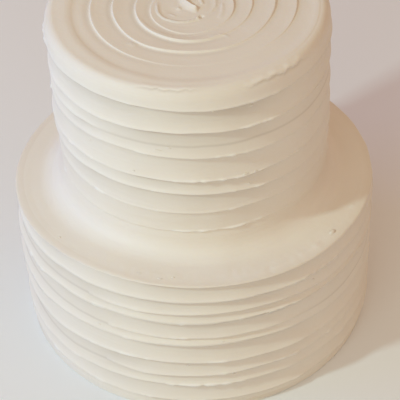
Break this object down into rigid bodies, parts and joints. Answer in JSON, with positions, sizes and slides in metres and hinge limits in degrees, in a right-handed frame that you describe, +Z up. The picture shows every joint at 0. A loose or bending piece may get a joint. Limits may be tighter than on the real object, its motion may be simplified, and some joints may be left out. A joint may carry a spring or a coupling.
{
  "type": "tiered wedding cake",
  "caption": "Tiered round cake with a narrower upper tier, covered in white buttercream left in wavy horizontal ridges, with a spiral on top.",
  "frame": {"origin": "centre of the flat underside of the lower tier", "axes": "+Z up along the axis of both tiers, -Y towards the viewer's side of the cake, +X to the viewer's right"},
  "size_m": [0.2164, 0.2158, 0.2232],
  "materials": {
    "lower_icing": "satin white buttercream with soft knife ridges",
    "upper_icing": "satin white buttercream with soft knife ridges"
  },
  "bodies": {
    "root": {"lower_tier": "lower_icing", "upper_tier": "upper_icing"}
  },
  "joints": []
}
